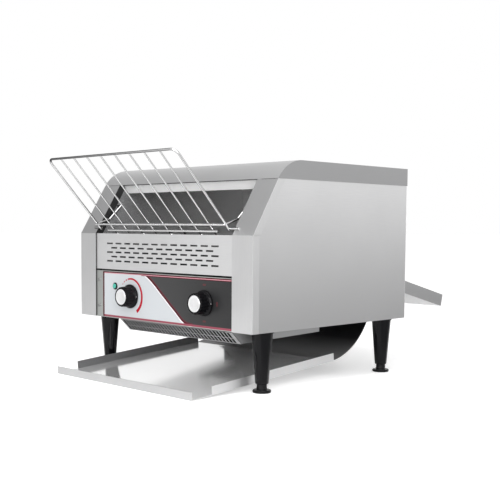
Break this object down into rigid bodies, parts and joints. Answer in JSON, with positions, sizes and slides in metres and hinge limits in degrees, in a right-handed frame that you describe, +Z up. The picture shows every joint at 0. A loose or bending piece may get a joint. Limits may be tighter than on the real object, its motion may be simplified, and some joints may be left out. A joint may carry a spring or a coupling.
{
  "type": "conveyor toaster",
  "caption": "Countertop conveyor toaster with a wire feed rack, heated belt chamber, front toast tray with curved slide, rear chute, two knobs and levelling feet.",
  "frame": {"origin": "on the table, under the middle of the outline with the feed rack, tray and rear chute in place", "axes": "+Z up, +X to the operator's right seen from the front, -Y towards the operator"},
  "size_m": [0.465, 0.7396, 0.3947],
  "materials": {
    "stainless": "satin",
    "cover_steel": "satin",
    "zinc_steel": "matt",
    "heat_tinted_steel": "satin",
    "polished_steel": "polished",
    "heater_tube": "oxidised",
    "ceramic": "matt ceramic",
    "fan_plastic": "matt",
    "motor_paint": "satin",
    "tool_steel": "oiled",
    "bronze": "satin",
    "chromed_wire": "polished",
    "switch_plastic": "matt",
    "overlay_print": "printed in grey and red",
    "knob_plastic": "satin",
    "knob_cap_metal": "turned",
    "lamp_lens": "clear, teal",
    "gland_plastic": "matt",
    "leg_plastic": "satin",
    "foot_steel": "black, satin"
  },
  "bodies": {
    "casing": {"base_plate": "stainless", "side_panel_left": "stainless", "side_panel_right": "stainless", "front_column_left": "stainless", "front_column_right": "stainless", "top_cover": "cover_steel", "front_hood": "stainless", "vent_panel": "stainless", "control_panel": "stainless", "control_overlay": "overlay_print", "panel_screws": "zinc_steel", "rear_panel": "stainless", "rear_screws": "zinc_steel", "inner_wall_left": "heat_tinted_steel", "inner_wall_right": "heat_tinted_steel", "rear_baffle": "heat_tinted_steel", "heat_shield": "zinc_steel", "upper_reflector": "polished_steel", "lower_reflector": "polished_steel", "upper_heaters": "heater_tube", "lower_heaters": "heater_tube", "heater_insulators": "ceramic", "air_duct": "stainless", "intake_grille": "stainless", "fan_housing": "fan_plastic", "gearmotor": "motor_paint", "drive_chain": "tool_steel", "shaft_bushes": "bronze", "conveyor_belt": "chromed_wire", "speed_regulator": "switch_plastic", "selector_switch": "switch_plastic", "lamp_body": "knob_plastic", "lamp_lens": "lamp_lens", "thermostat": "switch_plastic", "terminal_block": "switch_plastic", "cord_gland": "gland_plastic", "chute_rails": "stainless", "legs": "leg_plastic", "leg_bolts": "zinc_steel"},
    "rack": {"feed_rack": "chromed_wire"},
    "tray": {"toast_tray": "polished_steel"},
    "chute": {"rear_chute": "stainless"},
    "speed_control": {"speed_knob": "knob_plastic", "speed_knob_cap": "knob_cap_metal", "speed_spindle": "tool_steel"},
    "heat_control": {"selector_knob": "knob_plastic", "selector_knob_cap": "knob_cap_metal", "selector_spindle": "tool_steel"},
    "drive": {"drive_shaft": "tool_steel", "drive_rollers": "tool_steel", "drive_sprocket": "tool_steel"},
    "idler": {"idler_shaft": "tool_steel", "idler_rollers": "tool_steel"},
    "motor_output": {"motor_shaft": "tool_steel", "motor_sprocket": "tool_steel"},
    "fan": {"fan_rotor": "fan_plastic"},
    "foot_fl": {"foot_front_left": "foot_steel"},
    "foot_fr": {"foot_front_right": "foot_steel"},
    "foot_rl": {"foot_rear_left": "foot_steel"},
    "foot_rr": {"foot_rear_right": "foot_steel"}
  },
  "joints": [
    {"name": "rack_tilt", "type": "hinge", "parent": "casing", "child": "rack", "pos_m": [0, -0.25017, 0.2705], "axis": [-1, 0, 0], "range_deg": [0, 30]},
    {"name": "tray_slide", "type": "slide", "parent": "casing", "child": "tray", "axis": [0, -1, 0], "range_m": [0, 0.1]},
    {"name": "chute_slide", "type": "slide", "parent": "casing", "child": "chute", "axis": [0, 0.9703, -0.2419], "range_m": [-0.058, 0]},
    {"name": "speed_turn", "type": "hinge", "parent": "casing", "child": "speed_control", "pos_m": [-0.08, -0.27817, 0.1455], "axis": [0, -1, 0], "range_deg": [-60, 135]},
    {"name": "heat_turn", "type": "hinge", "parent": "casing", "child": "heat_control", "pos_m": [0.118, -0.27817, 0.1455], "axis": [0, -1, 0], "range_deg": [-90, 180]},
    {"name": "drive_spin", "type": "hinge", "parent": "casing", "child": "drive", "pos_m": [0, 0.05583, 0.23], "axis": [-1, 0, 0], "continuous": true},
    {"name": "idler_spin", "type": "hinge", "parent": "casing", "child": "idler", "pos_m": [0, -0.21267, 0.23], "axis": [-1, 0, 0], "continuous": true},
    {"name": "motor_spin", "type": "hinge", "parent": "casing", "child": "motor_output", "pos_m": [-0.2002, -0.10617, 0.146], "axis": [-1, 0, 0], "continuous": true},
    {"name": "fan_spin", "type": "hinge", "parent": "casing", "child": "fan", "pos_m": [0.03725, -0.12617, 0.12], "axis": [0, 0, 1], "continuous": true},
    {"name": "foot_front_left_level", "type": "slide", "parent": "casing", "child": "foot_fl", "axis": [0, 0, -1], "range_m": [0, 0.012]},
    {"name": "foot_front_right_level", "type": "slide", "parent": "casing", "child": "foot_fr", "axis": [0, 0, -1], "range_m": [0, 0.012]},
    {"name": "foot_rear_left_level", "type": "slide", "parent": "casing", "child": "foot_rl", "axis": [0, 0, -1], "range_m": [0, 0.012]},
    {"name": "foot_rear_right_level", "type": "slide", "parent": "casing", "child": "foot_rr", "axis": [0, 0, -1], "range_m": [0, 0.012]}
  ],
  "couplings": [
    {"joint": "idler_spin", "follows": "drive_spin", "ratio": 1},
    {"joint": "motor_spin", "follows": "drive_spin", "ratio": 1.6}
  ]
}
